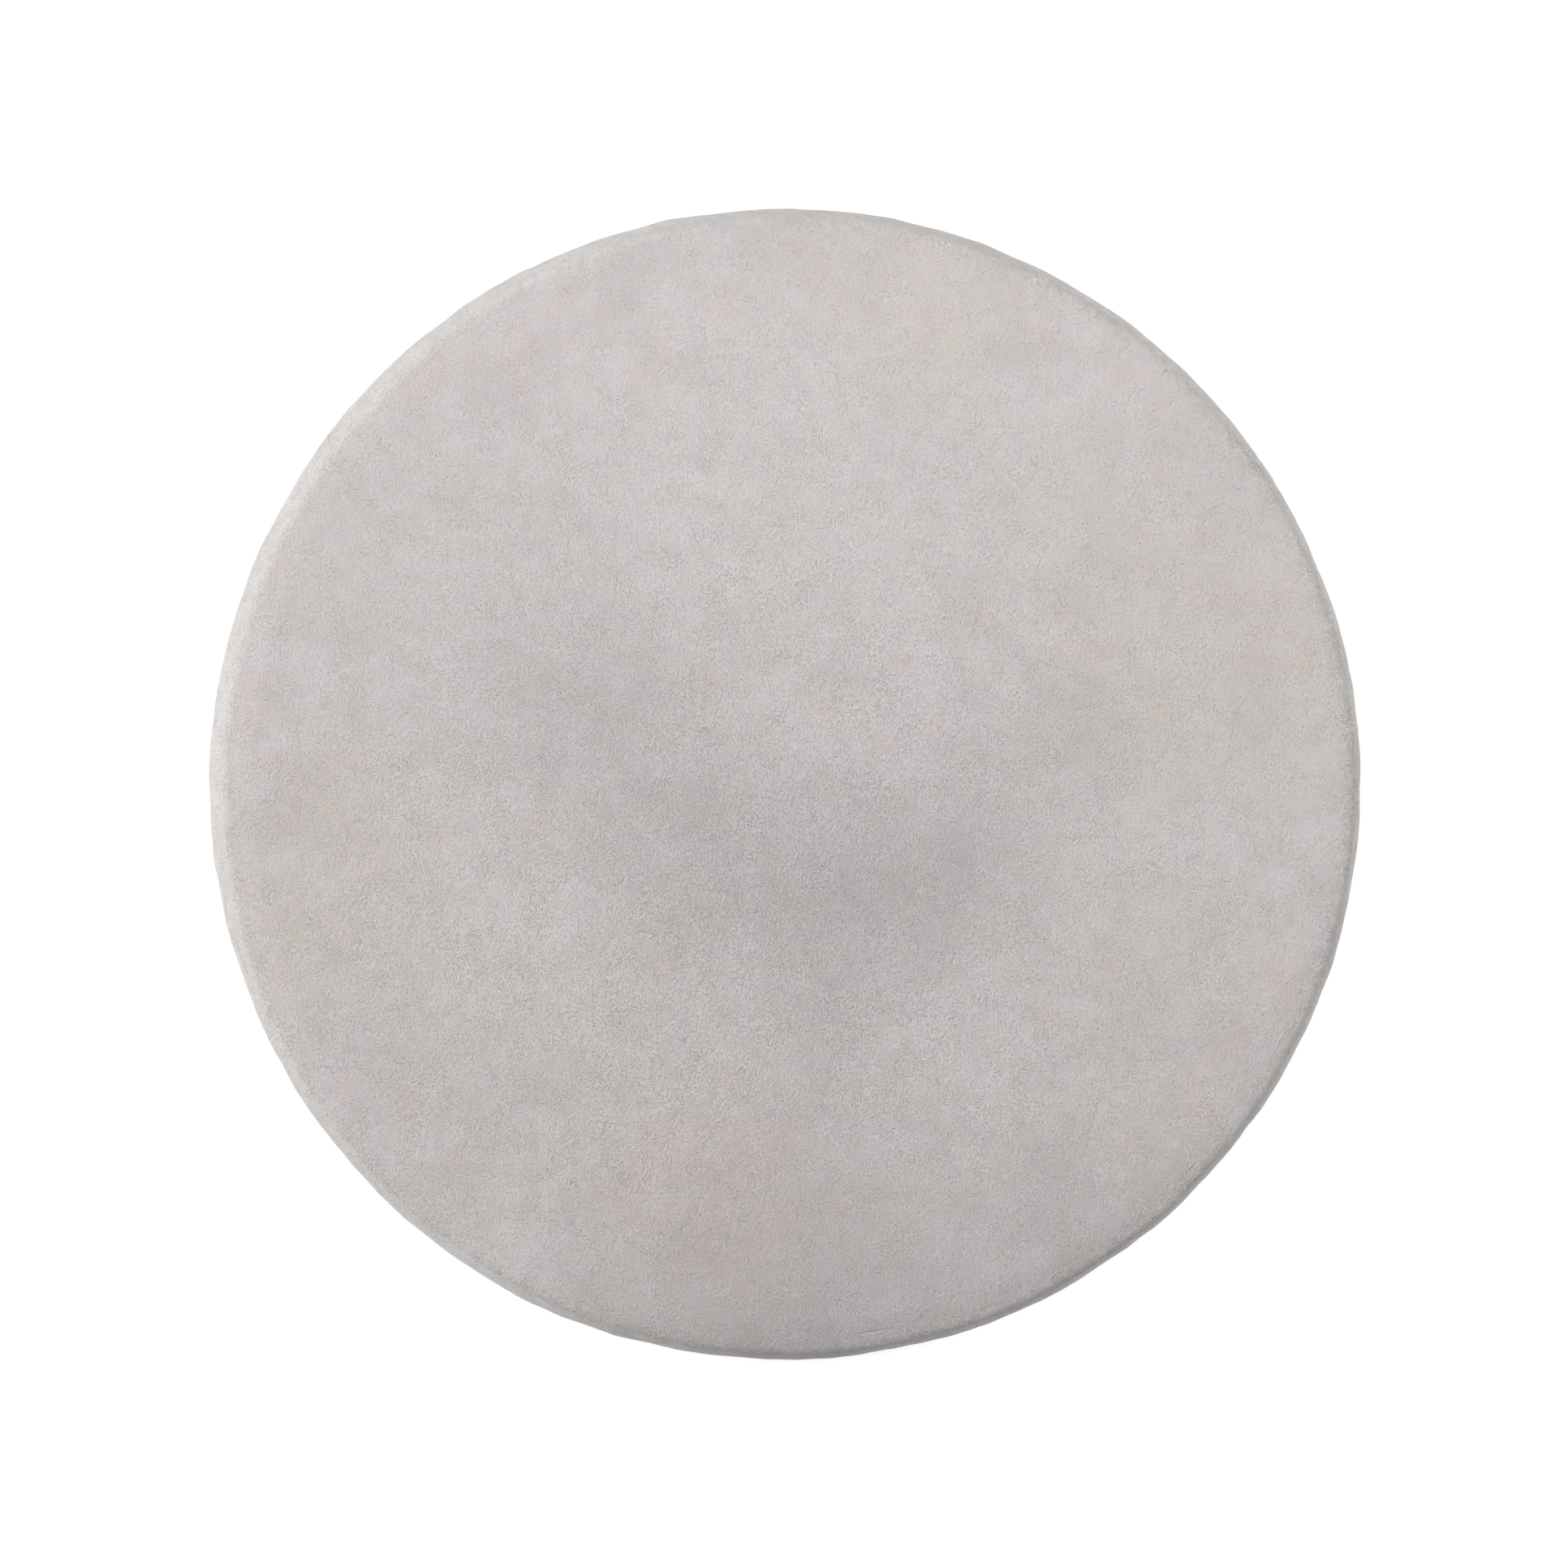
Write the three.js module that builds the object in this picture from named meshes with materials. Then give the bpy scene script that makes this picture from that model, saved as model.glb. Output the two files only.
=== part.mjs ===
// A whole wheel of soft-ripened cheese with a white bloomy rind, lying flat.
// It is one solid: a low drum whose side bellies out between a tight top edge and a softer foot,
// with a truly flat underside and a shallow sag in the top, a little off the middle.
// Millimetres, +Z up. The origin is the middle of the underside.
import * as THREE from "three";

// Driving dimensions
const WHEEL_DIAMETER = 350; // across the belly, the widest line of the side
const WHEEL_HEIGHT = 34; // from the underside to the level rim of the top
const SIDE_BELLY = 3.2; // how far the middle of the side stands out past its top and foot
const TOP_EDGE_RADIUS = 3; // rounding between the top face and the side
const FOOT_EDGE_RADIUS = 4; // rounding between the side and the underside, where the weight spreads
const SAG_DEPTH = 0.9; // how far the top has sunk at its lowest point
const SAG_REACH = 110; // how far from its lowest point the sag can be felt
const SAG_OFFSET_X = 8; // the lowest point, from the wheel's axis
const SAG_OFFSET_Y = -42;

// Facets
const AROUND = 96; // steps round the axis
const BELLY_STEPS = 6; // steps up the side between its two rounded edges
const EDGE_STEPS = 4; // steps over each rounded edge
const TOP_RINGS = 8; // rings across the top face, from its edge to the axis

const RIND_COLOUR = 0xc8c1be; // pale warm grey, as white mould is over a straw-coloured paste

// The side is one arc bellying out from a vertical chord as tall as the wheel.
function sideArc() {
  const halfHeight = WHEEL_HEIGHT / 2;
  const radius = (halfHeight ** 2 + SIDE_BELLY ** 2) / (2 * SIDE_BELLY);
  return { radius, x: WHEEL_DIAMETER / 2 - radius, z: halfHeight };
}

// The centre of a rounding that touches the level z = level and the inside of the side arc.
function edgeCentre(side, edgeRadius, level) {
  const inward = Math.sign(side.z - level);
  const z = level + inward * edgeRadius;
  const reach = side.radius - edgeRadius;
  return { x: side.x + Math.sqrt(reach ** 2 - (z - side.z) ** 2), z };
}

// Points on an arc from one angle to the other, both ends included. 0 points outwards, PI / 2 up.
function arcPoints(centre, radius, from, to, steps) {
  const points = [];
  for (let i = 0; i <= steps; i += 1) {
    const angle = from + ((to - from) * i) / steps;
    points.push(new THREE.Vector2(centre.x + radius * Math.cos(angle), centre.z + radius * Math.sin(angle)));
  }
  return points;
}

// The outline from the middle of the underside, out round the foot, up the side, over the top edge
// and back to the axis across the top.
function wheelOutline() {
  const side = sideArc();
  const foot = edgeCentre(side, FOOT_EDGE_RADIUS, 0);
  const edge = edgeCentre(side, TOP_EDGE_RADIUS, WHEEL_HEIGHT);
  const footAngle = Math.atan2(foot.z - side.z, foot.x - side.x);
  const edgeAngle = Math.atan2(edge.z - side.z, edge.x - side.x);
  const belly = arcPoints(side, side.radius, footAngle, edgeAngle, BELLY_STEPS);
  const topRings = [];
  for (let i = 1; i <= TOP_RINGS; i += 1) {
    topRings.push(new THREE.Vector2(edge.x * (1 - i / TOP_RINGS), WHEEL_HEIGHT));
  }
  return [
    new THREE.Vector2(0, 0),
    ...arcPoints(foot, FOOT_EDGE_RADIUS, -Math.PI / 2, footAngle, EDGE_STEPS),
    ...belly.slice(1, -1),
    ...arcPoints(edge, TOP_EDGE_RADIUS, edgeAngle, Math.PI / 2, EDGE_STEPS),
    ...topRings,
  ];
}

// How far the top has sunk at a point: a smooth hollow that fades to nothing at its reach
// and towards the rim, so that the rim stays level.
function sagAt(x, y) {
  const topRadius = edgeCentre(sideArc(), TOP_EDGE_RADIUS, WHEEL_HEIGHT).x;
  const fromLowest = Math.hypot(x - SAG_OFFSET_X, y - SAG_OFFSET_Y);
  const hollow = 1 - THREE.MathUtils.smoothstep(fromLowest, 0, SAG_REACH);
  const rimHold = 1 - THREE.MathUtils.smoothstep(Math.hypot(x, y), topRadius / 2, topRadius);
  return SAG_DEPTH * hollow * rimHold;
}

function wheelGeometry() {
  const geometry = new THREE.LatheGeometry(wheelOutline(), AROUND);
  geometry.rotateX(Math.PI / 2);
  const position = geometry.getAttribute("position");
  const topLevel = WHEEL_HEIGHT - TOP_EDGE_RADIUS / 2;
  for (let i = 0; i < position.count; i += 1) {
    if (position.getZ(i) > topLevel) {
      position.setZ(i, position.getZ(i) - sagAt(position.getX(i), position.getY(i)));
    }
  }
  geometry.computeVertexNormals();
  return geometry;
}

const rind = new THREE.MeshStandardMaterial({ color: RIND_COLOUR, roughness: 0.85, metalness: 0 });
const cheeseWheel = new THREE.Mesh(wheelGeometry(), rind);
cheeseWheel.name = "cheese_wheel";

const part = new THREE.Group();
part.add(cheeseWheel);

export default part;
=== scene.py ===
# %% [markdown]
# # A wheel of soft-ripened cheese
#
# The real wheel is one piece. Curd is ladled into a round hoop, drains under its own weight, and is
# turned until it holds its shape. White mould then grows over it as a thin felt, the bloomy rind.
# So the model is one closed skin as well, with no separate rind, and one material whose felt,
# colour and hollows change from place to place. Everything is in metres, +Z is up, and the origin
# is the middle of the underside, where the wheel rests.

# %% Load the frame
import math

import bpy
import numpy as np
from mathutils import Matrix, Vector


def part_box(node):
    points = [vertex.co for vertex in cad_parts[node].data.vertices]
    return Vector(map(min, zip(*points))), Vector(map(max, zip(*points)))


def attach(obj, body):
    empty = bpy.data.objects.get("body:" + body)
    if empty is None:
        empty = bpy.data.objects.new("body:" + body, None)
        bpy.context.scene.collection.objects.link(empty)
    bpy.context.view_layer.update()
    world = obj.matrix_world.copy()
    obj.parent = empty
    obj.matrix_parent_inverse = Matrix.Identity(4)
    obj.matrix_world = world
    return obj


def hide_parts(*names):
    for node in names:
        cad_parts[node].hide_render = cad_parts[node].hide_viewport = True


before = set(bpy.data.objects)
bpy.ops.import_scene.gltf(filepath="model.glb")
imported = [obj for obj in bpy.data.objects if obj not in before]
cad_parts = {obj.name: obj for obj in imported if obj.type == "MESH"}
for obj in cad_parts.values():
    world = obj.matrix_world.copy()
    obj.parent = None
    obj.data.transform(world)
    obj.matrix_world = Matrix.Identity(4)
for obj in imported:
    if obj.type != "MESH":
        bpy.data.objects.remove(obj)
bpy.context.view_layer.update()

MM = 0.001
low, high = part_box("cheese_wheel")
belly_radius = (high.x - low.x) / 2
wheel_height = high.z - low.z
print("wheel across", round(belly_radius * 2 / MM, 1), "mm, tall", round(wheel_height / MM, 1), "mm")

# %% [markdown]
# ## Camera
#
# A wheel of cheese is best known from straight above, where only its face and a thin line of rim
# show. A long lens from far away keeps the circle true and the side almost hidden. The lens is
# worked out from the share of the picture that the wheel fills, so it follows the wheel's size.

# %% The camera looks straight down
SENSOR = 36 * MM
CAMERA_HEIGHT = 3.6
WHEEL_SHARE = 0.7336  # of the picture's width

camera_data = bpy.data.cameras.new("overhead_camera")
camera_data.sensor_width = SENSOR / MM
picture_width = 2 * belly_radius / WHEEL_SHARE
camera_data.lens = (SENSOR / MM) * (CAMERA_HEIGHT - wheel_height / 2) / picture_width
camera_data.clip_end = 20
camera = bpy.data.objects.new("overhead_camera", camera_data)
camera.location = (0, 0, CAMERA_HEIGHT)
bpy.context.collection.objects.link(camera)
bpy.context.scene.camera = camera
print("lens", round(camera_data.lens), "mm at", CAMERA_HEIGHT, "m")

# %% [markdown]
# ## The face of the wheel
#
# The top of the wheel is where the curd settled flat. A cylinder's cap would do for the shape, but
# its triangles all meet at the middle, and soft hollows pushed into such a fan come out pinched.
# A circle filled with a grid has even squares all over, so the face can be dented anywhere. It is
# fine enough for hollows and creases a few millimetres wide; the felt is finer and is left to the
# material.

# %% A circle filled with a grid
AROUND = 768  # points round the wheel, about 1.4 mm apart at the rim
FACE_RADIUS = 150 * MM  # the gridded middle of the face

bpy.ops.object.select_all(action="DESELECT")
bpy.ops.mesh.primitive_circle_add(
    vertices=AROUND, radius=FACE_RADIUS, fill_type="NOTHING", location=(0, 0, wheel_height)
)
wheel = bpy.context.object
wheel.name = "soft_ripened_wheel"
wheel.data.name = "soft_ripened_wheel"
bpy.ops.object.transform_apply(location=True, rotation=True, scale=True)
bpy.ops.object.mode_set(mode="EDIT")
bpy.ops.mesh.select_all(action="SELECT")
bpy.ops.mesh.fill_grid(span=AROUND // 4)
bpy.ops.object.mode_set(mode="OBJECT")
print("face grid:", len(wheel.data.polygons), "squares")

# %% [markdown]
# ## The side, pulled down loop by loop
#
# A ripe wheel leans outwards under its own weight: the side bellies, the top edge is softly
# rounded, and the foot spreads. In section that is three arcs that run smoothly into each other.
# Spinning the section round would close the wheel in one step but needs its seam merged
# afterwards; extruding the open edge of the face along the section keeps one unbroken skin.

# %% The section as arcs
SIDE_BELLY = 3.2 * MM  # how far the belly stands out past the top and the foot
TOP_EDGE = 3 * MM  # rounding of the top edge
FOOT_EDGE = 4 * MM  # rounding of the foot
LOOP_GAP = 1.45 * MM  # between loops on the face and the side
EDGE_GAP = 0.75 * MM  # between loops round the two tight edges

half_height = wheel_height / 2
side_radius = (half_height**2 + SIDE_BELLY**2) / (2 * SIDE_BELLY)
side_centre = (belly_radius - side_radius, half_height)


def edge_centre(rounding, level):
    """Middle of a rounding that touches the level and the inside of the side's arc."""
    z = level + rounding if level < half_height else level - rounding
    reach = side_radius - rounding
    return side_centre[0] + math.sqrt(reach**2 - (z - half_height) ** 2), z


def arc(centre, radius, start, stop, gap):
    """Points along an arc, without its first one, as (distance from the axis, height)."""
    steps = max(2, round(abs(stop - start) * radius / gap))
    turns = [start + (stop - start) * i / steps for i in range(1, steps + 1)]
    return [(centre[0] + radius * math.cos(t), centre[1] + radius * math.sin(t)) for t in turns]


def line(start, stop, level, gap):
    """Points along a level line, without its first one."""
    steps = round(abs(stop - start) / gap)
    return [(start + (stop - start) * i / steps, level) for i in range(1, steps + 1)]


top_edge = edge_centre(TOP_EDGE, wheel_height)
foot_edge = edge_centre(FOOT_EDGE, 0)
top_turn = math.atan2(top_edge[1] - half_height, top_edge[0] - side_centre[0])
foot_turn = math.atan2(foot_edge[1] - half_height, foot_edge[0] - side_centre[0])
UNDER_RADIUS = 160 * MM  # where the fine loops of the foot end on the underside

section = line(FACE_RADIUS, top_edge[0], wheel_height, LOOP_GAP)
section += arc(top_edge, TOP_EDGE, math.pi / 2, top_turn, EDGE_GAP)
section += arc(side_centre, side_radius, top_turn, foot_turn, LOOP_GAP)
section += arc(foot_edge, FOOT_EDGE, foot_turn, -math.pi / 2, EDGE_GAP)
section += line(foot_edge[0], UNDER_RADIUS, 0, 2 * LOOP_GAP)
print("section:", len(section), "loops; the face is flat out to", round(top_edge[0] / MM, 1), "mm")

# %% Pull the skin along the section
OPEN_EDGE = {
    "extend": False,
    "use_wire": False,
    "use_boundary": True,
    "use_multi_face": False,
    "use_non_contiguous": False,
    "use_verts": False,
}

bpy.ops.object.mode_set(mode="EDIT")
bpy.ops.mesh.select_mode(type="EDGE")
bpy.ops.mesh.select_all(action="DESELECT")
bpy.ops.mesh.select_non_manifold(**OPEN_EDGE)
loop_radius, loop_height = FACE_RADIUS, wheel_height
for radius, height in section:
    bpy.ops.mesh.extrude_edges_move(
        TRANSFORM_OT_translate={"value": (0, 0, height - loop_height)}
    )
    growth = radius / loop_radius
    bpy.ops.transform.resize(value=(growth, growth, 1), center_override=(0, 0, height))
    loop_radius, loop_height = radius, height
bpy.ops.object.mode_set(mode="OBJECT")
print("skin:", len(wheel.data.polygons), "squares down to the underside")

# %% [markdown]
# ## The underside
#
# The wheel ripens on a slatted rack, so its underside is flat and carries the rack's faint print.
# It is seldom seen and needs less detail: a coarser gridded disc is added inside the same mesh
# and bridged to the foot's last loop. Bridging takes loops of different counts, which filling
# doesn't. Bridged while level with that loop, this disc was joined crosswise, with faces lying
# across the whole of it. Why isn't known: two plain level circles join well. Made a little
# higher, bridged and then let down, it joins straight. Both ways leave no open edge, so the area
# is measured too, because crossed faces add up to more than the circle they lie in.

# %% A coarser disc, bridged to the foot
UNDER_AROUND = AROUND * 2 // 3
DISC_RADIUS = UNDER_RADIUS - 3 * MM
DISC_LIFT = 1 * MM


def points(thing):
    """The piece's points as an array of x, y, z."""
    flat = np.empty(len(thing.data.vertices) * 3)
    thing.data.vertices.foreach_get("co", flat)
    return flat.reshape(-1, 3)


bpy.ops.object.mode_set(mode="EDIT")
bpy.ops.mesh.select_all(action="DESELECT")
bpy.ops.mesh.primitive_circle_add(
    vertices=UNDER_AROUND, radius=DISC_RADIUS, fill_type="NOTHING", location=(0, 0, DISC_LIFT)
)
bpy.ops.mesh.fill_grid(span=UNDER_AROUND // 4)
bpy.ops.mesh.select_all(action="DESELECT")
bpy.ops.mesh.select_non_manifold(**OPEN_EDGE)
bpy.ops.mesh.bridge_edge_loops()
bpy.ops.object.mode_set(mode="OBJECT")
let_down = points(wheel)
from_middle = np.hypot(let_down[:, 0], let_down[:, 1])
on_disc = (from_middle < UNDER_RADIUS - MM) & (let_down[:, 2] < half_height)
let_down[on_disc, 2] = 0
wheel.data.vertices.foreach_set("co", let_down.ravel())
bpy.ops.object.mode_set(mode="EDIT")
bpy.ops.mesh.select_all(action="SELECT")
bpy.ops.mesh.normals_make_consistent(inside=False)
bpy.ops.mesh.select_all(action="DESELECT")
bpy.ops.mesh.select_non_manifold(**OPEN_EDGE)
bpy.ops.object.mode_set(mode="OBJECT")
open_edges = sum(edge.select for edge in wheel.data.edges)
low_faces = [f for f in wheel.data.polygons if f.center.z < MM and f.center.xy.length < UNDER_RADIUS]
low_area = sum(f.area for f in low_faces)
circle_area = math.pi * UNDER_RADIUS**2
print("closed skin:", open_edges, "open edges,", len(wheel.data.loop_triangles), "triangles")
print("underside:", round(low_area, 5), "m2 of faces on a circle of", round(circle_area, 5), "m2")
print("underside faces that point up:", sum(f.normal.z > 0 for f in low_faces))

# %% [markdown]
# ## How the wheel has settled
#
# No wheel is quite even. The paste sinks a little off the middle as it ripens and stands a little
# proud round that hollow, the edge droops where the wheel was last propped and is worn rounder
# where it was turned over, and the whole face slips a little to one side of the belly. Each swell
# is made as by hand: a point or a ring of points is picked and moved, and proportional editing
# carries its neighbours with a soft falloff. The lower half is hidden first, so that the underside
# stays flat on what it rests on.

# %% Hollows and swells pushed into the face
SWELLS = [  # x, y, reach and lift, in millimetres
    (12, -38, 74, -1.5),  # the sunken middle
    (48, -6, 44, -0.5),
    (-40, 2, 46, -0.4),
    (0, 66, 78, 0.7),  # the broad swell behind it
    (-62, -66, 52, 0.5),
    (72, -74, 50, 0.4),
    (128, 10, 46, 0.3),
    (0, -168, 66, -1.4),  # the drooping edge
]


def choose(thing, chosen):
    """Selects only these points, from outside edit mode."""
    bpy.ops.object.mode_set(mode="EDIT")
    bpy.ops.mesh.select_mode(type="VERT")
    bpy.ops.mesh.select_all(action="DESELECT")
    bpy.ops.object.mode_set(mode="OBJECT")
    thing.data.vertices.foreach_set("select", chosen)


def nudge(move, reach):
    """Moves the selected points, and carries what is within reach with a soft falloff."""
    bpy.ops.transform.translate(
        value=move,
        use_proportional_edit=True,
        proportional_edit_falloff="SMOOTH",
        proportional_size=reach,
    )


choose(wheel, points(wheel)[:, 2] < half_height)
bpy.ops.object.mode_set(mode="EDIT")
bpy.ops.mesh.hide(unselected=False)
for x, y, reach, lift in SWELLS:
    bpy.ops.object.mode_set(mode="OBJECT")
    off = points(wheel) - (x * MM, y * MM, wheel_height)
    nearest = np.zeros(len(off), bool)
    nearest[(off**2).sum(1).argmin()] = True
    choose(wheel, nearest)
    bpy.ops.object.mode_set(mode="EDIT")
    nudge((0, 0, lift * MM), reach * MM)
bpy.ops.object.mode_set(mode="OBJECT")
settled = points(wheel)[:, 2]
print("swells:", len(SWELLS), "- the top now reaches", round(settled.max() / MM, 2), "mm")

# %% Round the edge more where the wheel was turned over
WORN_TURN = math.radians(235)  # from +X towards +Y, the middle of the worn part
WORN_SPANS = (108, 96, 84, 72)  # degrees to either side, for each pass
WORN_DROP = 0.3 * MM  # per pass
WORN_REACH = 9 * MM
WORN_INSIDE = 170.5 * MM  # from the axis, where the worn ring starts


def ring(thing, span):
    """Which points lie on the top edge, within this many degrees of the worn part's middle."""
    x, y, z = points(thing).T
    turned = np.abs((np.arctan2(y, x) - WORN_TURN + math.pi) % (2 * math.pi) - math.pi)
    outside = (np.hypot(x, y) > WORN_INSIDE) & (z > wheel_height - 2 * TOP_EDGE)
    return outside & (turned < math.radians(span))


for span in WORN_SPANS:
    choose(wheel, ring(wheel, span))
    bpy.ops.object.mode_set(mode="EDIT")
    nudge((0, 0, -WORN_DROP), WORN_REACH)
    bpy.ops.object.mode_set(mode="OBJECT")
print("worn edge lowered by", round(len(WORN_SPANS) * WORN_DROP / MM, 1), "mm")

# %% Slip the face to one side
SLIP = (1.8 * MM, -0.6 * MM, 0)

unslipped = points(wheel)
choose(wheel, unslipped[:, 2] > wheel_height - TOP_EDGE)
bpy.ops.object.mode_set(mode="EDIT")
nudge(SLIP, half_height)
bpy.ops.mesh.reveal(select=False)
bpy.ops.object.mode_set(mode="OBJECT")
slipped = np.linalg.norm(points(wheel) - unslipped, axis=1).max()
print("the face slipped by", round(slipped / MM, 2), "mm")

# %% [markdown]
# ## Small unevenness of the skin
#
# The face was pressed flat and is very even; only faint undulations catch a low light. The side
# stood free once the hoop was off, so it is lumpier: it slumped, its skin wrinkled as it dried, and
# draining curd left it slightly rippled. A Displace modifier with cloud noise gives all of these.
# Each part of the skin has a vertex group that says how much of it moves, so the flat underside is
# left alone.

# %% Weights for the face and for the side
WEIGHT_STEPS = 16


def weigh(thing, name, weights):
    """Adds a vertex group that holds these weights, rounded to steps."""
    group = thing.vertex_groups.new(name=name)
    level = np.round(np.clip(weights, 0, 1) * WEIGHT_STEPS)
    for step in range(1, WEIGHT_STEPS + 1):
        group.add(np.flatnonzero(level == step).tolist(), step / WEIGHT_STEPS, "REPLACE")


facing = np.empty(len(wheel.data.vertices) * 3)
wheel.data.vertices.foreach_get("normal", facing)
facing = facing.reshape(-1, 3)[:, 2]
off_floor = np.clip(points(wheel)[:, 2] / (FOOT_EDGE / 2), 0, 1)
weigh(wheel, "face", np.clip(facing, 0, 1) ** 2)
weigh(wheel, "side", (1 - facing**2) * off_floor)
print("weighed:", ", ".join(group.name for group in wheel.vertex_groups))


# %% Push the skin in and out
def roughen(thing, name, lump, depth, group):
    """Displaces the skin by cloud noise with lumps about this wide, and applies it."""
    clouds = bpy.data.textures.new(name, "CLOUDS")
    clouds.noise_scale = lump
    clouds.noise_depth = 1
    push = thing.modifiers.new(name, "DISPLACE")
    push.texture = clouds
    push.texture_coords = "LOCAL"
    push.vertex_group = group
    push.strength = depth
    bpy.ops.object.modifier_apply(modifier=name)
    bpy.data.textures.remove(clouds)


roughen(wheel, "pressed_face", lump=30 * MM, depth=0.3 * MM, group="face")
roughen(wheel, "matted_felt", lump=6 * MM, depth=0.08 * MM, group="face")
roughen(wheel, "slumped_side", lump=45 * MM, depth=1.2 * MM, group="side")
roughen(wheel, "wrinkled_side", lump=14 * MM, depth=0.8 * MM, group="side")
roughen(wheel, "drained_side", lump=6 * MM, depth=0.45 * MM, group="side")
wheel.vertex_groups.clear()
print("side stands out to", round(np.hypot(*points(wheel)[:, :2].T).max() / MM, 2), "mm")

# %% [markdown]
# ## The rack's print
#
# While it ripens, the wheel is turned from side to side on a rack of round bars. They leave shallow
# grooves across the underside. Sixteen modelled bars and a boolean would do it, but the print has
# no sharp edge anywhere, so the points over each bar are simply raised by a soft cosine.

# %% Grooves across the underside
BAR_PITCH = 20 * MM
GROOVE_WIDTH = 8 * MM
GROOVE_DEPTH = 0.6 * MM
TOUCHES = 1e-6  # a point lower than this rests on the floor

moved = points(wheel)
from_bar = np.abs((moved[:, 0] / BAR_PITCH + 0.5) % 1 - 0.5) * BAR_PITCH
groove = np.cos(np.clip(from_bar / (GROOVE_WIDTH / 2), 0, 1) * math.pi) / 2 + 0.5
moved[:, 2] += np.where(moved[:, 2] < TOUCHES, groove * GROOVE_DEPTH, 0)
wheel.data.vertices.foreach_set("co", moved.ravel())
wheel.data.update()
print("points left flat on the floor:", int((moved[:, 2] < TOUCHES).sum()))

# %% Bring the wheel back to its size
span = points(wheel)
low_now, high_now = span.min(0), span.max(0)
middle = (low_now + high_now) / 2
bpy.ops.object.mode_set(mode="EDIT")
bpy.ops.mesh.select_all(action="SELECT")
bpy.ops.transform.translate(value=(-middle[0], -middle[1], -low_now[2]))
bpy.ops.transform.resize(
    value=(
        2 * belly_radius / (high_now[0] - low_now[0]),
        2 * belly_radius / (high_now[1] - low_now[1]),
        wheel_height / (high_now[2] - low_now[2]),
    ),
    center_override=(0, 0, 0),
)
bpy.ops.object.mode_set(mode="OBJECT")
bpy.ops.object.shade_smooth()
print("box in mm:", np.round(np.ptp(points(wheel), axis=0) / MM, 2))

# %% [markdown]
# ## A flat layout of the skin
#
# The rind's patterns read the wheel's own coordinates and need no layout to render. A layout
# matters when the colours are painted to an image for other programs: the face then deserves most
# of the picture. The face is laid out as a large disc, the underside as a small one in the free
# corner, and the side as four straight strips along the other two edges.

# %% Lay out the face, the side and the underside
FACE_SHARE = 0.80  # of the layout's width, for the face's disc
UNDER_SHARE = 0.35
STRIP_SHARE = 0.86  # the strips' scale beside the face's
GAP = 0.008
LEVEL_ENOUGH = 0.6  # of a face's normal pointing up or down, to count as level

skin = wheel.data
layout = skin.uv_layers.new(name="OFBake")
corner_point = np.empty(len(skin.loops), np.int32)
skin.loops.foreach_get("vertex_index", corner_point)
corner_total = np.empty(len(skin.polygons), np.int32)
skin.polygons.foreach_get("loop_total", corner_total)
face_normal = np.empty(len(skin.polygons) * 3)
skin.polygons.foreach_get("normal", face_normal)
face_middle = np.empty(len(skin.polygons) * 3)
skin.polygons.foreach_get("center", face_middle)
up = np.repeat(face_normal.reshape(-1, 3)[:, 2], corner_total)
centre = np.repeat(face_middle.reshape(-1, 3), corner_total, axis=0)
x, y, z = points(wheel)[corner_point].T

face_scale = FACE_SHARE / (2 * belly_radius)
flat = np.stack([x, y], 1) * face_scale + FACE_SHARE / 2 + GAP
under_scale = UNDER_SHARE / (2 * belly_radius)
under = np.stack([x, -y], 1) * under_scale + 1 - UNDER_SHARE / 2 - GAP
strip_scale = face_scale * STRIP_SHARE
turn = np.arctan2(centre[:, 1], centre[:, 0])
quarter = np.clip(np.floor(turn / (math.pi / 2)) + 2, 0, 3)
own_turn = turn + (np.arctan2(y, x) - turn + math.pi) % (2 * math.pi) - math.pi
along = (own_turn - (quarter - 2) * math.pi / 2) * belly_radius * strip_scale + GAP
across = FACE_SHARE + 2 * GAP + (quarter % 2 + (z / wheel_height)) * wheel_height * strip_scale
across += (quarter % 2) * GAP
strip = np.where((quarter < 2)[:, None], np.stack([along, across], 1), np.stack([across, along], 1))
is_face, is_under = up > LEVEL_ENOUGH, up < -LEVEL_ENOUGH
spots = np.where(is_face[:, None], flat, np.where(is_under[:, None], under, strip))
layout.data.foreach_set("uv", spots.ravel().astype(np.float32))
print("layout from", spots.min(0).round(3), "to", spots.max(0).round(3))

# %% [markdown]
# ## Rind: white mould felt over straw-coloured paste
#
# The rind is living felt, a fraction of a millimetre thick: pale threads lying in swirls, matted
# flat where the wheel was handled. It was grown, not moulded or cut, so nothing in it repeats. To
# the eye that gives a dull, chalky white that is never one colour, with a fine granular nap which
# a low light picks out, and no shine at all. It could be grown as hair, but hair this short reads
# only as grain, so a bump does it: noise, stretched into short threads and bent by a slower swirl.
# Every pattern reads the wheel's own coordinates, in metres.

# %% Colours and a way to add nodes
FELT_WHITE = "#d9d2d8"  # the young felt, faintly mauve
STRAW = "#d4cbb9"  # paste showing through where the felt is thin
BLUSH = "#d9c4c1"  # older felt turning pink
ASH_AND_SHADE = "#b1adaf"  # thin grey felt, and painted shade in the hollow and at the front edge
CHALK_AND_LIGHT = "#dcdad9"  # thick fresh felt, and painted light round the hollow and on threads
SIDE_FELT = "#d1cecd"  # even felt on the side, less blushed


def linear(hex_colour):
    """An sRGB hex colour as linear red, green, blue and alpha."""
    parts = [int(hex_colour[i : i + 2], 16) / 255 for i in (1, 3, 5)]
    return [c / 12.92 if c <= 0.04045 else ((c + 0.055) / 1.055) ** 2.4 for c in parts] + [1.0]


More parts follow.
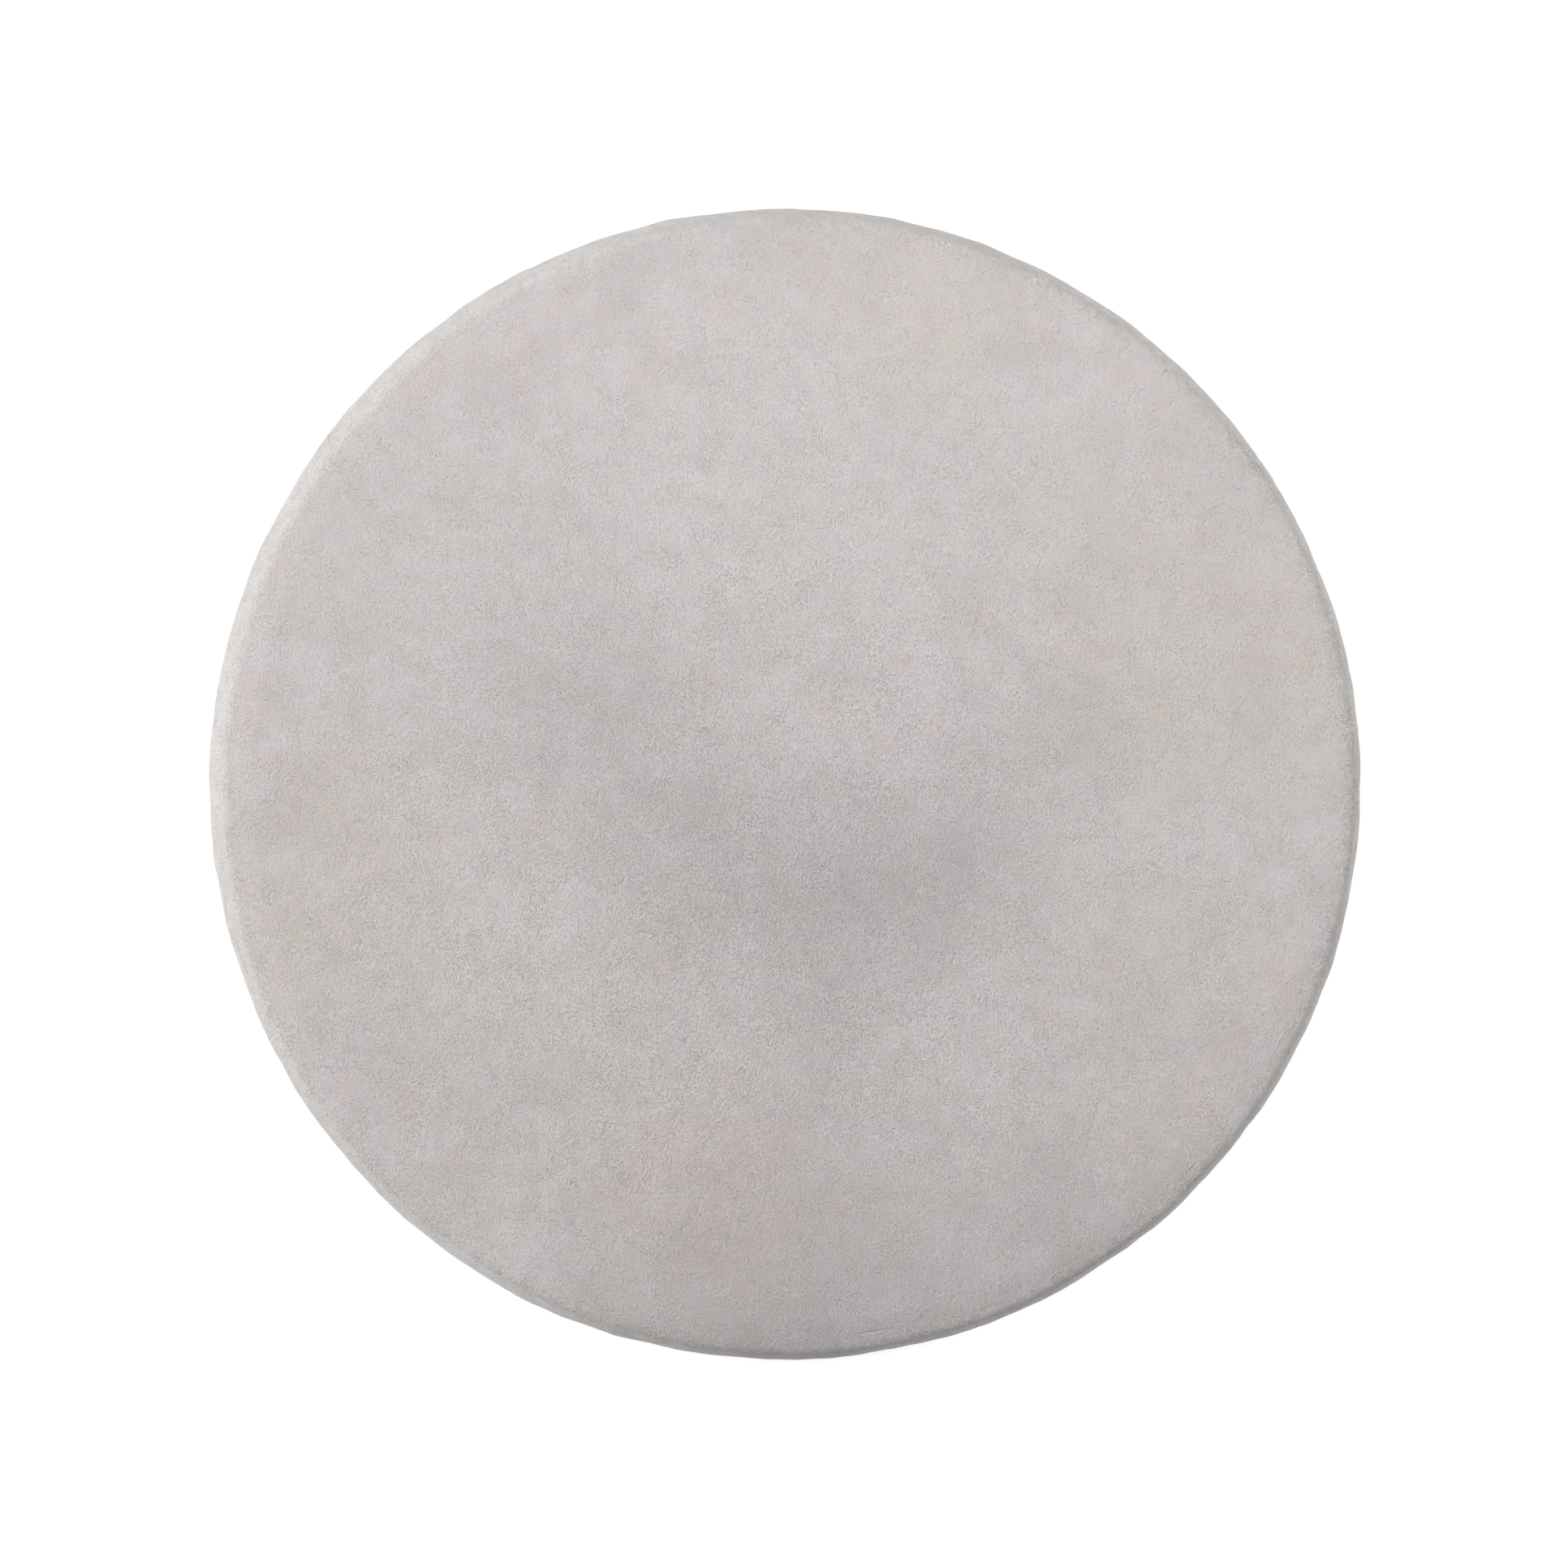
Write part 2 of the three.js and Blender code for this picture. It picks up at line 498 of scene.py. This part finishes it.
def add(kind, sockets=None, **settings):
    """Adds a node. sockets gives each input a number, a colour or the output it is linked to."""
    node = tree.nodes.new(kind)
    for name, value in settings.items():
        setattr(node, name, value)
    for name, value in (sockets or {}).items():
        if isinstance(value, bpy.types.NodeSocket):
            tree.links.new(value, node.inputs[name])
        else:
            node.inputs[name].default_value = value
    return node


def per_metre(millimetres):
    """The noise scale that makes one lump about this wide."""
    return 1 / (millimetres * MM)


rind = bpy.data.materials.new("bloomy_rind")
rind.use_nodes = True
tree = rind.node_tree
tree.nodes.clear()
place = add("ShaderNodeTexCoord").outputs["Object"]
print("rind colours:", FELT_WHITE, STRAW, BLUSH, ASH_AND_SHADE, CHALK_AND_LIGHT)

# %% [markdown]
# ### Where the felt lies
#
# Three things steer all the rest: a swirl that bends the threads, a wider drift that keeps the
# edge of every stain uneven, and a map of where the felt stands up and where it was matted flat.
# Each is a noise of its own width. A painted map would place them exactly, but it would need an
# image, and felt has no exact place for anything.

# %% Swirl, drift and matted patches
SWIRL_WIDTH, SWIRL_SHIFT = 11, 4  # millimetres
DRIFT_WIDTH, DRIFT_SHIFT = 34, 14
MATTED_WIDTH = 6
MATTED_BELOW, RAISED_ABOVE = 0.4, 0.62  # of that noise, which runs from 0 to 1
NOISE_ROUGHNESS = 0.6  # how strong each finer layer of a noise is beside the last


def shifted(width, reach):
    """The wheel's coordinates, pushed about by up to half this reach, in lumps this wide."""
    push = add("ShaderNodeTexNoise", {"Vector": place, "Scale": per_metre(width), "Detail": 1})
    both_ways = add(
        "ShaderNodeVectorMath", {0: push.outputs["Color"], 1: (0.5,) * 3}, operation="SUBTRACT"
    )
    shift = add(
        "ShaderNodeVectorMath", {0: both_ways.outputs[0], "Scale": reach * MM}, operation="SCALE"
    )
    return add("ShaderNodeVectorMath", {0: place, 1: shift.outputs[0]}, operation="ADD").outputs[0]


bent = shifted(SWIRL_WIDTH, SWIRL_SHIFT)
drifted = shifted(DRIFT_WIDTH, DRIFT_SHIFT)
matting = add(
    "ShaderNodeTexNoise",
    {"Vector": bent, "Scale": per_metre(MATTED_WIDTH), "Detail": 2, "Roughness": NOISE_ROUGHNESS},
)
print("swirl over", SWIRL_WIDTH, "mm, drift over", DRIFT_WIDTH, "mm")
print("matted patches", MATTED_WIDTH, "mm wide")

# %% The side counts as its own place
FACE_EDGE = 172  # millimetres from the axis, where the face turns into the rounded edge
EDGE_FADE = 5

flat_place = add("ShaderNodeVectorMath", {0: place, 1: (1, 1, 0)}, operation="MULTIPLY").outputs[0]
from_axis = add("ShaderNodeVectorMath", {0: flat_place}, operation="LENGTH").outputs["Value"]
on_side = add(
    "ShaderNodeMapRange",
    {"Value": from_axis, 1: (FACE_EDGE - EDGE_FADE) * MM, 2: FACE_EDGE * MM, 3: 0.0, 4: 1.0},
    interpolation_type="SMOOTHSTEP",
).outputs[0]
print("the side starts", FACE_EDGE, "mm from the axis")

# %% [markdown]
# ### Nap
#
# Threads of mould clump into strokes 1 to 2 mm long that lie over each other. Noise alone looks
# like sand. Bending the coordinates by the swirl and then squeezing them along the strokes makes
# the same noise come out as short curved threads. Coarser tufts lie under them. Real threads are
# finer than a tenth of a millimetre; these are drawn several times as coarse, or none would
# show. On the face the nap is deepest over the damp hollow and thins away from it. It is lower
# where it is matted, and it stands highest on the side, which nothing pressed.

# %% Threads over tufts
THREAD_WIDTH, THREAD_STRETCH, THREAD_HEIGHT = 0.42, 1.4, 0.25  # width and height in millimetres
TUFT_WIDTH, TUFT_HEIGHT = 1.1, 0.10
CLUMP_WIDTH, CLUMP_HEIGHT = 7, 0.05
MATTED_SHARE, RAISED_SHARE = 0.75, 1.1
SIDE_SHARE = 1.4
FLAKE_FOOT, FLAKE_TOP = 0.48, 0.74  # of the noise, where a flake starts and where it is full
FLAKE_MEAN = 0.16  # of its height, taken over flakes and gaps
DEEPEST = (-15, -40)  # the felt is thickest over the hollow, in millimetres
THINNING_REACH = 200
DEEP_SHARE, THIN_SHARE = 1.25, 0.7


def raised(under, coordinates, width, tall, fine):
    """Adds flat-topped flakes this wide and tall, in millimetres, to the height so far."""
    lumps = add(
        "ShaderNodeTexNoise",
        {"Vector": coordinates, "Scale": per_metre(width), "Detail": fine, "Roughness": NOISE_ROUGHNESS},
    )
    flakes = add(
        "ShaderNodeMapRange",
        {"Value": lumps.outputs[0], 1: FLAKE_FOOT, 2: FLAKE_TOP, 3: 0.0, 4: tall * MM},
        interpolation_type="SMOOTHSTEP",
    )
    return add("ShaderNodeMath", {0: under, 1: flakes.outputs[0]}, operation="ADD").outputs[0]


# The height starts below zero, so that matting leaves the level as it is.
squeeze = (1, 1 / THREAD_STRETCH, 1 / THREAD_STRETCH)
combed = add("ShaderNodeVectorMath", {0: bent, 1: squeeze}, operation="MULTIPLY").outputs[0]
middle_height = -(THREAD_HEIGHT + TUFT_HEIGHT) * FLAKE_MEAN * MM
nap_height = raised(middle_height, combed, THREAD_WIDTH, THREAD_HEIGHT, 2)
nap_height = raised(nap_height, combed, TUFT_WIDTH, TUFT_HEIGHT, 1)
standing = add(
    "ShaderNodeMapRange",
    {
        "Value": matting.outputs[0],
        1: MATTED_BELOW,
        2: RAISED_ABOVE,
        3: MATTED_SHARE,
        4: RAISED_SHARE,
    },
    interpolation_type="SMOOTHSTEP",
).outputs[0]
deepest = (DEEPEST[0] * MM, DEEPEST[1] * MM, wheel_height)
off_deepest = add("ShaderNodeVectorMath", {0: place, 1: deepest}, operation="DISTANCE").outputs["Value"]
thinning = add(
    "ShaderNodeMapRange",
    {"Value": off_deepest, 1: 0.0, 2: THINNING_REACH * MM, 3: DEEP_SHARE, 4: THIN_SHARE},
).outputs[0]
side_nap = add(
    "ShaderNodeMapRange", {"Value": on_side, 1: 0.0, 2: 1.0, 3: 1.0, 4: SIDE_SHARE}
).outputs[0]
share = add("ShaderNodeMath", {0: standing, 1: thinning}, operation="MULTIPLY").outputs[0]
share = add("ShaderNodeMath", {0: share, 1: side_nap}, operation="MULTIPLY").outputs[0]
nap_height = add("ShaderNodeMath", {0: nap_height, 1: share}, operation="MULTIPLY").outputs[0]
felt_height = raised(nap_height, place, CLUMP_WIDTH, CLUMP_HEIGHT, 1)
print("threads", THREAD_WIDTH, "mm wide on tufts", TUFT_WIDTH, "mm wide")

# %% [markdown]
# ### Creases and pores
#
# Handling leaves its marks: a few short creases where the cloth was folded against the edge, and
# here and there a pore where a bubble of gas came out. They are too fine for the mesh, so they go
# into the same height. Each mark is a long thin ellipse: a Mapping node turns and stretches the
# coordinates until that ellipse is a ball of radius one.

# %% Creases near the edge, and pores
MARKS = [  # x, y, turn in degrees, length, width and height, in millimetres
    (150, -78, 63, 13, 1.3, 0.16),
    (123, -116, 47, 6, 1.4, 0.25),
    (27, -166, 9, 20, 1.2, -0.20),
    (55, 160, -19, 16, 1.3, -0.16),
    (-150, -62, -66, 12, 1.4, -0.16),
    (-64, -121, 20, 2.0, 1.5, -0.40),
    (70, 52, 75, 1.6, 1.2, -0.25),
]
ANY_HEIGHT = 1.0  # an ellipse this tall, in metres, doesn't end within the wheel

for x, y, degrees, length, width, tall in MARKS:
    spot = add(
        "ShaderNodeMapping",
        {
            "Vector": place,
            "Location": (x * MM, y * MM, wheel_height),
            "Rotation": (0, 0, math.radians(degrees)),
            "Scale": (length / 2 * MM, width / 2 * MM, ANY_HEIGHT),
        },
        vector_type="TEXTURE",
    ).outputs[0]
    away = add("ShaderNodeVectorMath", {0: spot}, operation="LENGTH").outputs["Value"]
    fold = add(
        "ShaderNodeMapRange",
        {"Value": away, 1: 0.0, 2: 1.0, 3: tall * MM, 4: 0.0},
        interpolation_type="SMOOTHSTEP",
    ).outputs[0]
    felt_height = add("ShaderNodeMath", {0: felt_height, 1: fold}, operation="ADD").outputs[0]
print(len(MARKS), "creases and pores")

# %% [markdown]
# ### Colour
#
# Under the felt the paste is straw-coloured, and it shows where the felt is thin, mostly near the
# edge. Old felt blushes pink, and in the damp hollow it goes thin and grey. Part of that grey, in
# the hollow and along the drooping front edge, is painted shade where those slopes turn from the
# light, and the chalky patches round the hollow are partly painted light where the face rises
# towards it. The stains and painted patches have their places, so each is laid as a soft round
# patch whose edge drifts. Over all of it the felt is mottled, in clouds from a few centimetres
# down to single tufts, and never by much: a few percent is what makes white look grown instead of
# painted. The side dried faster, so its felt is evener and less blushed, with more straw at the
# foot, where the rack rubs it.

# %% Clouds and stains
CLOUD_EDGE, CLOUD_HEART = 0.42, 0.66  # of the noise, where a cloud starts and where it is full


def clouded(under, tint, width, share, coordinates):
    """Lays a tint over the colour in clouds this many millimetres wide."""
    lumps = add(
        "ShaderNodeTexNoise",
        {"Vector": coordinates, "Scale": per_metre(width), "Detail": 2, "Roughness": NOISE_ROUGHNESS},
    )
    cover = add(
        "ShaderNodeMapRange",
        {"Value": lumps.outputs[0], 1: CLOUD_EDGE, 2: CLOUD_HEART, 3: 0.0, 4: share},
        interpolation_type="SMOOTHSTEP",
    )
    tinted = add("ShaderNodeMix", {0: cover.outputs[0], 6: under, 7: linear(tint)}, data_type="RGBA")
    return tinted.outputs[2]


def stained_and_shaded(under, tint, x, y, reach, share):
    """Lays a tint over the colour in a soft patch round a spot of the face, in millimetres."""
    spot = (x * MM, y * MM, wheel_height)
    away = add("ShaderNodeVectorMath", {0: drifted, 1: spot}, operation="DISTANCE").outputs["Value"]
    cover = add(
        "ShaderNodeMapRange",
        {"Value": away, 1: 0.0, 2: reach * MM, 3: share, 4: 0.0},
        interpolation_type="SMOOTHSTEP",
    )
    tinted = add("ShaderNodeMix", {0: cover.outputs[0], 6: under, 7: linear(tint)}, data_type="RGBA")
    return tinted.outputs[2]


FACE_CLOUDS = [  # tint, width in millimetres, share, and the coordinates they follow
    (ASH_AND_SHADE, 27, 0.34, place),
    (CHALK_AND_LIGHT, 19, 0.34, drifted),
    (STRAW, 23, 0.26, drifted),
    (BLUSH, 17, 0.26, place),
    (STRAW, 8, 0.30, place),
    (BLUSH, 6, 0.32, drifted),
    (CHALK_AND_LIGHT, 4.5, 0.12, bent),
    (STRAW, 2.2, 0.14, bent),
    (BLUSH, 1.8, 0.14, drifted),
]
colour = linear(FELT_WHITE)
for layer in FACE_CLOUDS:
    colour = clouded(colour, *layer)
print("the face is clouded in", len(FACE_CLOUDS), "layers")

# %% The side's own clouds
FOOT_RUBBED = 9  # millimetres up from the floor
FOOT_STRAW = 0.55  # how much straw shows at the very foot
SIDE_CLOUDS = [  # as for the face
    (ASH_AND_SHADE, 26, 0.30, place),
    (STRAW, 15, 0.32, drifted),
    (CHALK_AND_LIGHT, 9, 0.45, place),
    (BLUSH, 6, 0.40, bent),
    (STRAW, 3, 0.25, bent),
    (ASH_AND_SHADE, 4.5, 0.30, bent),
    (CHALK_AND_LIGHT, 2.4, 0.45, bent),
]

side_colour = linear(SIDE_FELT)
for layer in SIDE_CLOUDS:
    side_colour = clouded(side_colour, *layer)
height = add("ShaderNodeSeparateXYZ", {0: bent}).outputs["Z"]
rubbed = add(
    "ShaderNodeMapRange",
    {"Value": height, 1: 0.0, 2: FOOT_RUBBED * MM, 3: FOOT_STRAW, 4: 0.0},
    interpolation_type="SMOOTHSTEP",
).outputs[0]
side_colour = add(
    "ShaderNodeMix", {0: rubbed, 6: side_colour, 7: linear(STRAW)}, data_type="RGBA"
).outputs[2]
colour = add("ShaderNodeMix", {0: on_side, 6: colour, 7: side_colour}, data_type="RGBA").outputs[2]
print("the side is rubbed to straw up to", FOOT_RUBBED, "mm")

# %% Stains, painted shade and painted light in their places, then painted light on the thread tops
STAINS_AND_SHADING = [  # tint, x, y, reach in millimetres, and share
    (CHALK_AND_LIGHT, 6, 84, 84, 0.34),  # thick felt and painted light, behind and beside the hollow
    (CHALK_AND_LIGHT, -84, -54, 56, 0.38),
    (CHALK_AND_LIGHT, 122, -10, 62, 0.38),
    (CHALK_AND_LIGHT, 84, 96, 60, 0.22),
    (CHALK_AND_LIGHT, -98, 58, 84, 0.20),
    (ASH_AND_SHADE, -98, 58, 84, 0.10),
    (CHALK_AND_LIGHT, 60, -84, 34, 0.20),
    (CHALK_AND_LIGHT, -46, -64, 46, 0.26),
    (CHALK_AND_LIGHT, 20, -94, 28, 0.18),
    (CHALK_AND_LIGHT, -96, -152, 38, 0.50),  # lighter at the lower left of the worn edge
    (ASH_AND_SHADE, -58, 24, 52, 0.28),  # the smile-shaped hollow: thin grey felt and painted shade
    (ASH_AND_SHADE, -22, -16, 50, 0.40),
    (ASH_AND_SHADE, 18, -38, 50, 0.50),
    (ASH_AND_SHADE, 54, -24, 46, 0.50),
    (ASH_AND_SHADE, 88, 14, 40, 0.25),
    (ASH_AND_SHADE, 16, -84, 52, 0.20),
    (ASH_AND_SHADE, 4, -174, 90, 0.72),  # painted shade where the front edge droops from the light
    (ASH_AND_SHADE, 84, -136, 48, 0.34),
    (STRAW, -128, -32, 74, 0.22),
    (STRAW, -58, -96, 56, 0.20),
    (STRAW, 128, 38, 78, 0.24),
    (STRAW, 104, -52, 58, 0.14),
    (STRAW, 34, 150, 60, 0.20),
    (ASH_AND_SHADE, 0, 168, 46, 0.16),
    (STRAW, -95, 85, 12, 0.35),
    (BLUSH, -14, -132, 62, 0.32),
]

STANDING_CHALK_AND_LIGHT = 0.24  # whiter where it stands: fresh felt and painted light
THREAD_TOP_LIGHT = 0.35  # painted light on thread tops, painted shade in the gaps

for laid_tint in STAINS_AND_SHADING:
    colour = stained_and_shaded(colour, *laid_tint)
# Where the felt stands it is painted lighter, partly to offset the darker shading its raised nap gets
# from the bump.
standing_light_cover = add(
    "ShaderNodeMapRange",
    {"Value": matting.outputs[0], 1: MATTED_BELOW, 2: RAISED_ABOVE, 3: 0.0, 4: STANDING_CHALK_AND_LIGHT},
).outputs[0]
colour = add(
    "ShaderNodeMix", {0: standing_light_cover, 6: colour, 7: linear(CHALK_AND_LIGHT)}, data_type="RGBA"
).outputs[2]
# The same noise as the threads' bump: their tops are painted light and the gaps between them keep a
# painted shade.
colour = clouded(colour, CHALK_AND_LIGHT, THREAD_WIDTH, THREAD_TOP_LIGHT, combed)
print(len(STAINS_AND_SHADING), "stains laid on the rind")

# %% [markdown]
# ### Finish
#
# Felt scatters light in all directions: the roughness is near one and the gloss almost nothing,
# with a trace of sheen where threads stand up at a grazing angle. The index of 1.4 is that of
# moist protein, between water's and fat's. Matted felt is very slightly smoother.

# %% Shader
RAISED_ROUGHNESS, MATTED_ROUGHNESS = 0.95, 0.8

roughness = add(
    "ShaderNodeMapRange",
    {
        "Value": matting.outputs[0],
        1: MATTED_BELOW,
        2: RAISED_ABOVE,
        3: MATTED_ROUGHNESS,
        4: RAISED_ROUGHNESS,
    },
).outputs[0]
bump = add("ShaderNodeBump", {"Height": felt_height, "Distance": 1.0, "Strength": 1.0})
felt = add(
    "ShaderNodeBsdfPrincipled",
    {
        "Base Color": colour,
        "Roughness": roughness,
        "IOR": 1.4,
        "Specular IOR Level": 0.25,
        "Sheen Weight": 0.1,
        "Sheen Roughness": 0.5,
        "Normal": bump.outputs[0],
    },
)
add("ShaderNodeOutputMaterial", {"Surface": felt.outputs[0]})
wheel.data.materials.append(rind)
print("rind:", len(tree.nodes), "nodes")

# %% Give the wheel its place in the frame
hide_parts("cheese_wheel")
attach(wheel, "root")
print(wheel.name, "rides on root in place of cheese_wheel")

# %% [markdown]
# ## Floor and light
#
# The wheel lies on a white light table, which glows, so that the lamps' shadows hardly show on it
# and light from it fills the side from below. Under the wheel and just past its foot the glow is
# turned down, a painted contact shadow round the foot. A plain white floor would need much more
# lamp light to look as white, and the rind would lose its soft greys. A low wall of the same glass
# closes it off far behind, so that nothing dark shows over its edge from low down.

# %% A glowing white floor
FLOOR_WIDTH = 12
FLOOR_DROP = 0.4 * MM  # under the wheel, so that the two surfaces don't flicker
FLOOR_WHITE = 0.2
FLOOR_GLOW = 0.95
CONTACT_SHADOW_GLOW = 0.3  # a painted contact shadow under the wheel and round its foot
CONTACT_SHADOW_TO, GLOW_FROM = 169, 178  # millimetres from the axis; the painted shadow fades between

bpy.ops.object.select_all(action="DESELECT")
bpy.ops.mesh.primitive_plane_add(size=FLOOR_WIDTH, location=(0, 0, -FLOOR_DROP))
floor = bpy.context.object
floor.name = "pale_floor"
glass = bpy.data.materials.new("opal_glass")
glass.use_nodes = True
tree = glass.node_tree
tree.nodes.clear()
floor_place = add("ShaderNodeTexCoord").outputs["Object"]
floor_away = add("ShaderNodeVectorMath", {0: floor_place}, operation="LENGTH").outputs["Value"]
# The glow is turned down under the wheel and round its foot: a painted contact shadow.
glow = add(
    "ShaderNodeMapRange",
    {"Value": floor_away, 1: CONTACT_SHADOW_TO * MM, 2: GLOW_FROM * MM, 3: CONTACT_SHADOW_GLOW, 4: FLOOR_GLOW},
    interpolation_type="SMOOTHSTEP",
).outputs[0]
opal = add(
    "ShaderNodeBsdfPrincipled",
    {
        "Base Color": (FLOOR_WHITE, FLOOR_WHITE, FLOOR_WHITE, 1),
        "Roughness": 0.9,
        "Specular IOR Level": 0.0,
        "Emission Color": (1, 1, 1, 1),
        "Emission Strength": glow,
    },
)
add("ShaderNodeOutputMaterial", {"Surface": opal.outputs[0]})
floor.data.materials.append(glass)
print("floor", FLOOR_WIDTH, "m wide, glowing at", FLOOR_GLOW)

# %% A low pale wall far behind the floor
COVE_RADIUS = 5.9
COVE_HEIGHT = 0.5
COVE_SIDES = 128

bpy.ops.object.select_all(action="DESELECT")
bpy.ops.mesh.primitive_cylinder_add(
    vertices=COVE_SIDES,
    radius=COVE_RADIUS,
    depth=COVE_HEIGHT,
    end_fill_type="NOTHING",
    location=(0, 0, COVE_HEIGHT / 2),
)
cove = bpy.context.object
cove.name = "pale_cove"
cove.data.materials.append(glass)
print("cove", COVE_HEIGHT, "m high,", COVE_RADIUS, "m away")

# %% [markdown]
# A low key light from the left rakes over the nap and lights the side it falls on. A weaker fill
# from the other side keeps the far edge soft, and a small box hung over the back of the wheel
# makes its light fade gently towards the front.

# %% Three soft boxes and a pale room
def softbox(name, turn, rise, distance, size, power):
    """A square soft light: turn is from +X towards +Y, rise is above the floor, in degrees."""
    data = bpy.data.lights.new(name, "AREA")
    data.shape = "SQUARE"
    data.size = size
    data.energy = power
    lamp = bpy.data.objects.new(name, data)
    turn, rise = math.radians(turn), math.radians(rise)
    lamp.location = (
        distance * math.cos(rise) * math.cos(turn),
        distance * math.cos(rise) * math.sin(turn),
        distance * math.sin(rise),
    )
    lamp.rotation_euler = (math.pi / 2 - rise, 0, turn + math.pi / 2)
    bpy.context.collection.objects.link(lamp)
    print(name, power, "W from", round(math.degrees(turn)), "degrees")


softbox("key_light", turn=173, rise=32, distance=2.2, size=0.7, power=33)
softbox("fill_light", turn=24, rise=50, distance=1.4, size=0.8, power=6.6)
softbox("top_light", turn=90, rise=64, distance=0.7, size=0.3, power=1.15)

ROOM_LIGHT = 0.1
room = bpy.data.worlds.new("pale_room")
room.use_nodes = True
room.node_tree.nodes["Background"].inputs["Color"].default_value = (1, 1, 1, 1)
room.node_tree.nodes["Background"].inputs["Strength"].default_value = ROOM_LIGHT
bpy.context.scene.world = room
bpy.context.scene.view_settings.view_transform = "Standard"
print("room light", ROOM_LIGHT)
